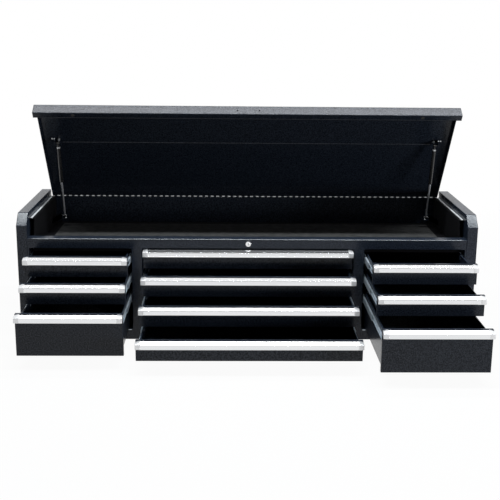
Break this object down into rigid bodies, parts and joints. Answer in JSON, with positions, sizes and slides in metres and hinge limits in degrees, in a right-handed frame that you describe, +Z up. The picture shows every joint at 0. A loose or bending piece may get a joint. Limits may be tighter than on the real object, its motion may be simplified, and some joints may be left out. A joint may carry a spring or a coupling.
{
  "type": "machinist tool chest",
  "caption": "Wide top tool chest with three banks of drawers on ball-bearing slides, full-width pulls and a hinged lid on gas struts over a till.",
  "frame": {"origin": "middle of the case's footprint on its underside", "axes": "+X to the right along the width, +Y to the back, +Z up"},
  "size_m": [1.829, 1.0787, 0.9219],
  "materials": {
    "black_paint": "fine-textured semi-gloss black powder coat",
    "pull_aluminium": "satin silver anodised",
    "zinc_steel": "blue-white zinc plate",
    "till_mat": "soft grained foam sheet",
    "bumper_rubber": "matt",
    "lock_chrome": "polished",
    "polished_rod": "polished",
    "strut_black": "gloss black"
  },
  "bodies": {
    "case": {"left_side_panel": "black_paint", "right_side_panel": "black_paint", "back_panel": "black_paint", "bottom_pan": "black_paint", "front_frame": "black_paint", "bank_partitions": "black_paint", "till_tray": "black_paint", "till_mat": "till_mat", "case_rails": "zinc_steel", "hinge_case_leaf": "zinc_steel", "hinge_pin": "zinc_steel", "strut_case_brackets": "zinc_steel", "lock_barrel": "lock_chrome"},
    "lid": {"lid_panel": "black_paint", "hinge_lid_leaf": "zinc_steel", "lid_bumpers": "bumper_rubber", "strut_lid_brackets": "zinc_steel"},
    "strut_rods": {"strut_rods": "polished_rod"},
    "strut_cylinders": {"strut_cylinders": "strut_black"},
    "lock_plug": {"lock_plug": "lock_chrome"},
    "centre_drawer_1": {"centre_drawer_1": "black_paint", "centre_drawer_1_pull": "pull_aluminium", "centre_drawer_1_rails": "zinc_steel"},
    "centre_drawer_1_slide": {"centre_drawer_1_middle_rails": "zinc_steel"},
    "centre_drawer_2": {"centre_drawer_2": "black_paint", "centre_drawer_2_pull": "pull_aluminium", "centre_drawer_2_rails": "zinc_steel"},
    "centre_drawer_2_slide": {"centre_drawer_2_middle_rails": "zinc_steel"},
    "centre_drawer_3": {"centre_drawer_3": "black_paint", "centre_drawer_3_pull": "pull_aluminium", "centre_drawer_3_rails": "zinc_steel"},
    "centre_drawer_3_slide": {"centre_drawer_3_middle_rails": "zinc_steel"},
    "centre_drawer_4": {"centre_drawer_4": "black_paint", "centre_drawer_4_pull": "pull_aluminium", "centre_drawer_4_rails": "zinc_steel"},
    "centre_drawer_4_slide": {"centre_drawer_4_middle_rails": "zinc_steel"},
    "left_drawer_1": {"left_drawer_1": "black_paint", "left_drawer_1_pull": "pull_aluminium", "left_drawer_1_rails": "zinc_steel"},
    "left_drawer_1_slide": {"left_drawer_1_middle_rails": "zinc_steel"},
    "left_drawer_2": {"left_drawer_2": "black_paint", "left_drawer_2_pull": "pull_aluminium", "left_drawer_2_rails": "zinc_steel"},
    "left_drawer_2_slide": {"left_drawer_2_middle_rails": "zinc_steel"},
    "left_drawer_3": {"left_drawer_3": "black_paint", "left_drawer_3_pull": "pull_aluminium", "left_drawer_3_rails": "zinc_steel"},
    "left_drawer_3_slide": {"left_drawer_3_middle_rails": "zinc_steel"},
    "right_drawer_1": {"right_drawer_1": "black_paint", "right_drawer_1_pull": "pull_aluminium", "right_drawer_1_rails": "zinc_steel"},
    "right_drawer_1_slide": {"right_drawer_1_middle_rails": "zinc_steel"},
    "right_drawer_2": {"right_drawer_2": "black_paint", "right_drawer_2_pull": "pull_aluminium", "right_drawer_2_rails": "zinc_steel"},
    "right_drawer_2_slide": {"right_drawer_2_middle_rails": "zinc_steel"},
    "right_drawer_3": {"right_drawer_3": "black_paint", "right_drawer_3_pull": "pull_aluminium", "right_drawer_3_rails": "zinc_steel"},
    "right_drawer_3_slide": {"right_drawer_3_middle_rails": "zinc_steel"}
  },
  "joints": [
    {"name": "lid_hinge", "type": "hinge", "parent": "case", "child": "lid", "pos_m": [0, 0.2681, 0.486], "axis": [1, 0, 0], "range_deg": [0, 54.84]},
    {"name": "strut_foot_turn", "type": "hinge", "parent": "case", "child": "strut_rods", "pos_m": [0, 0.178, 0.414], "axis": [1, 0, 0], "range_deg": [0, 56.86]},
    {"name": "strut_extension", "type": "slide", "parent": "strut_rods", "child": "strut_cylinders", "axis": [0, -0.2717, 0.9624], "range_m": [-0.10584, 0], "stiffness_N_per_m": 710, "springref_m": 0.42},
    {"name": "lock_turn", "type": "hinge", "parent": "case", "child": "lock_plug", "pos_m": [0, -0.274, 0.399], "axis": [0, 1, 0], "range_deg": [0, 90]},
    {"name": "centre_drawer_1_travel", "type": "slide", "parent": "case", "child": "centre_drawer_1", "axis": [0, -1, 0], "range_m": [0, 0.5]},
    {"name": "centre_drawer_1_slide_travel", "type": "slide", "parent": "case", "child": "centre_drawer_1_slide", "axis": [0, -1, 0], "range_m": [0, 0.25]},
    {"name": "centre_drawer_2_travel", "type": "slide", "parent": "case", "child": "centre_drawer_2", "axis": [0, -1, 0], "range_m": [-0.11, 0.39]},
    {"name": "centre_drawer_2_slide_travel", "type": "slide", "parent": "case", "child": "centre_drawer_2_slide", "axis": [0, -1, 0], "range_m": [-0.055, 0.195]},
    {"name": "centre_drawer_3_travel", "type": "slide", "parent": "case", "child": "centre_drawer_3", "axis": [0, -1, 0], "range_m": [-0.228, 0.272]},
    {"name": "centre_drawer_3_slide_travel", "type": "slide", "parent": "case", "child": "centre_drawer_3_slide", "axis": [0, -1, 0], "range_m": [-0.114, 0.136]},
    {"name": "centre_drawer_4_travel", "type": "slide", "parent": "case", "child": "centre_drawer_4", "axis": [0, -1, 0], "range_m": [-0.374, 0.126]},
    {"name": "centre_drawer_4_slide_travel", "type": "slide", "parent": "case", "child": "centre_drawer_4_slide", "axis": [0, -1, 0], "range_m": [-0.187, 0.063]},
    {"name": "left_drawer_1_travel", "type": "slide", "parent": "case", "child": "left_drawer_1", "axis": [0, -1, 0], "range_m": [-0.126, 0.374]},
    {"name": "left_drawer_1_slide_travel", "type": "slide", "parent": "case", "child": "left_drawer_1_slide", "axis": [0, -1, 0], "range_m": [-0.063, 0.187]},
    {"name": "left_drawer_2_travel", "type": "slide", "parent": "case", "child": "left_drawer_2", "axis": [0, -1, 0], "range_m": [-0.213, 0.287]},
    {"name": "left_drawer_2_slide_travel", "type": "slide", "parent": "case", "child": "left_drawer_2_slide", "axis": [0, -1, 0], "range_m": [-0.1065, 0.1435]},
    {"name": "left_drawer_3_travel", "type": "slide", "parent": "case", "child": "left_drawer_3", "axis": [0, -1, 0], "range_m": [-0.322, 0.178]},
    {"name": "left_drawer_3_slide_travel", "type": "slide", "parent": "case", "child": "left_drawer_3_slide", "axis": [0, -1, 0], "range_m": [-0.161, 0.089]},
    {"name": "right_drawer_1_travel", "type": "slide", "parent": "case", "child": "right_drawer_1", "axis": [0, -1, 0], "range_m": [-0.214, 0.286]},
    {"name": "right_drawer_1_slide_travel", "type": "slide", "parent": "case", "child": "right_drawer_1_slide", "axis": [0, -1, 0], "range_m": [-0.107, 0.143]},
    {"name": "right_drawer_2_travel", "type": "slide", "parent": "case", "child": "right_drawer_2", "axis": [0, -1, 0], "range_m": [-0.344, 0.156]},
    {"name": "right_drawer_2_slide_travel", "type": "slide", "parent": "case", "child": "right_drawer_2_slide", "axis": [0, -1, 0], "range_m": [-0.172, 0.078]},
    {"name": "right_drawer_3_travel", "type": "slide", "parent": "case", "child": "right_drawer_3", "axis": [0, -1, 0], "range_m": [-0.485, 0.015]},
    {"name": "right_drawer_3_slide_travel", "type": "slide", "parent": "case", "child": "right_drawer_3_slide", "axis": [0, -1, 0], "range_m": [-0.2425, 0.0075]}
  ],
  "couplings": [
    {"joint": "strut_foot_turn", "follows": "lid_hinge", "ratio": 1.0366},
    {"joint": "strut_extension", "follows": "lid_hinge", "m_per_rad": -0.11048},
    {"joint": "centre_drawer_1_slide_travel", "follows": "centre_drawer_1_travel", "ratio": 0.5},
    {"joint": "centre_drawer_2_slide_travel", "follows": "centre_drawer_2_travel", "ratio": 0.5},
    {"joint": "centre_drawer_3_slide_travel", "follows": "centre_drawer_3_travel", "ratio": 0.5},
    {"joint": "centre_drawer_4_slide_travel", "follows": "centre_drawer_4_travel", "ratio": 0.5},
    {"joint": "left_drawer_1_slide_travel", "follows": "left_drawer_1_travel", "ratio": 0.5},
    {"joint": "left_drawer_2_slide_travel", "follows": "left_drawer_2_travel", "ratio": 0.5},
    {"joint": "left_drawer_3_slide_travel", "follows": "left_drawer_3_travel", "ratio": 0.5},
    {"joint": "right_drawer_1_slide_travel", "follows": "right_drawer_1_travel", "ratio": 0.5},
    {"joint": "right_drawer_2_slide_travel", "follows": "right_drawer_2_travel", "ratio": 0.5},
    {"joint": "right_drawer_3_slide_travel", "follows": "right_drawer_3_travel", "ratio": 0.5}
  ]
}
